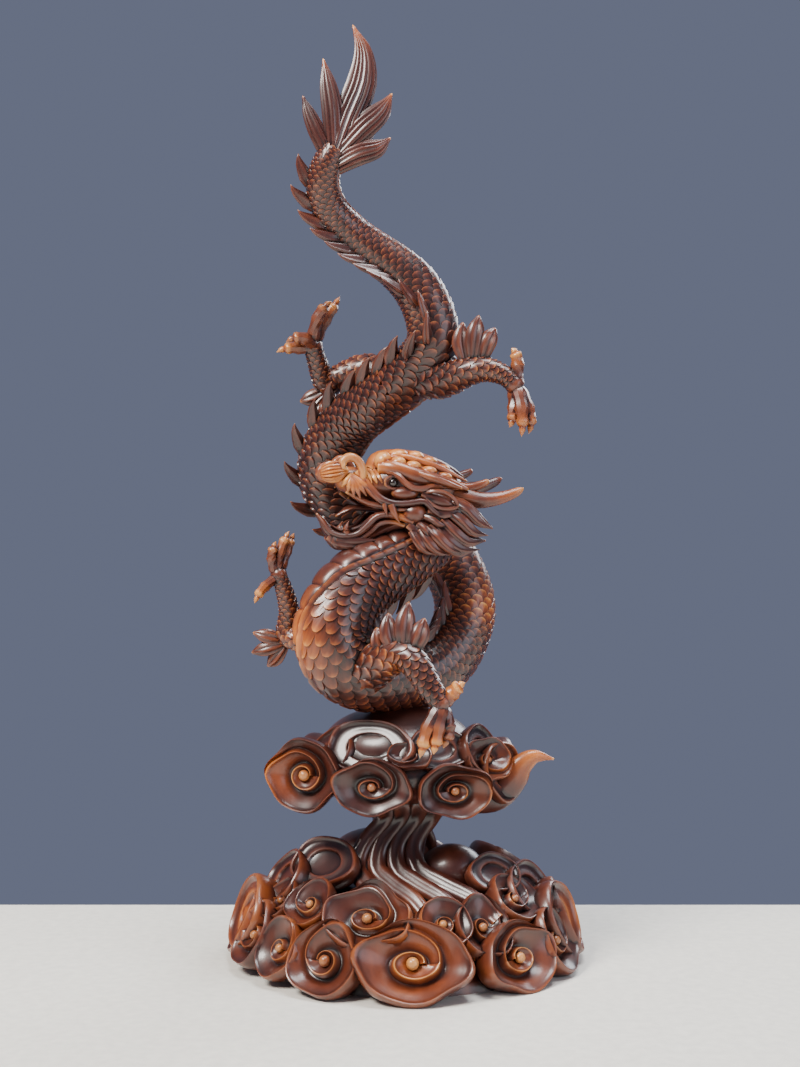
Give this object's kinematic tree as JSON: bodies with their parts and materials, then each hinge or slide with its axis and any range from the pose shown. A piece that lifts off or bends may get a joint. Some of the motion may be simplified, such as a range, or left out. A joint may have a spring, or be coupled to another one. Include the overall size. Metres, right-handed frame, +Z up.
{
  "type": "dragon sculpture",
  "caption": "Carved dragon that coils once over a scrolled cloud and climbs to a flame-shaped tail, on a cloud mound plinth.",
  "frame": {"origin": "centre of the plinth's flat underside", "axes": "+Z up to the tip of the tail, +X to the right as the dragon's horn points, -Y towards the viewer in front"},
  "size_m": [0.1106, 0.1107, 0.3],
  "materials": {
    "dragon_wood": "satin dark red-brown lacquer",
    "plinth_wood": "satin dark red-brown lacquer",
    "eye_bead": "glossy black"
  },
  "bodies": {
    "root": {"dragon": "dragon_wood", "cloud_plinth": "plinth_wood", "eye_left": "eye_bead", "eye_right": "eye_bead"}
  },
  "joints": []
}
